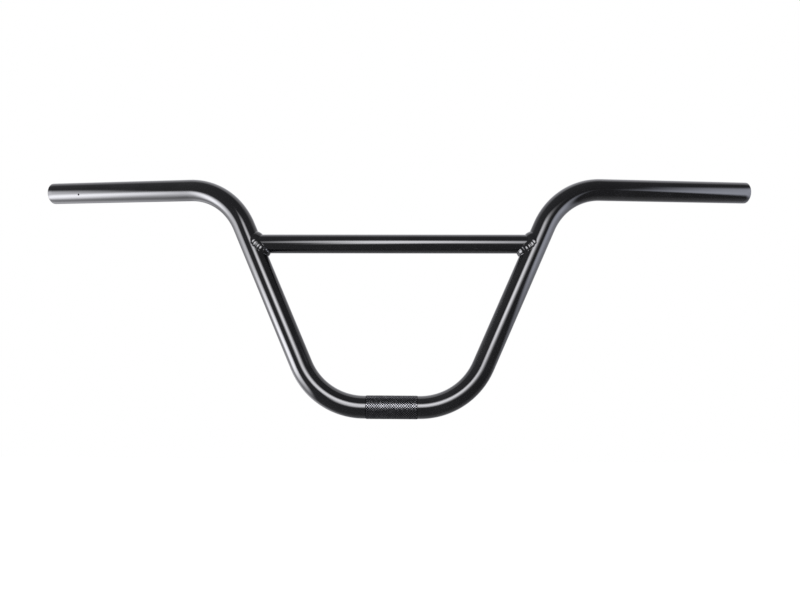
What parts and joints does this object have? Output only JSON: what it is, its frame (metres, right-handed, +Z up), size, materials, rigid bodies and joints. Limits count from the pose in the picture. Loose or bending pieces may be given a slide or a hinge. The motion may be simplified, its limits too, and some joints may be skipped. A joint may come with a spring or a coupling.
{
  "type": "bmx handlebar",
  "caption": "High-rise steel bicycle handlebar with a welded crossbar, a knurled stem clamp band and straight back-swept grip ends, painted gloss black.",
  "frame": {"origin": "centre of the knurled stem clamp band, on its axis", "axes": "+X along the clamp's axis towards the right grip as seen from the front, +Z up along the rise, -Y towards the front, so the grips sweep back towards +Y"},
  "size_m": [0.749, 0.0661, 0.251],
  "materials": {
    "gloss_black_paint": "gloss",
    "painted_weld": "gloss"
  },
  "bodies": {
    "root": {"bar_tube": "gloss_black_paint", "crossbar": "gloss_black_paint", "weld_left": "painted_weld", "weld_right": "painted_weld"}
  },
  "joints": []
}
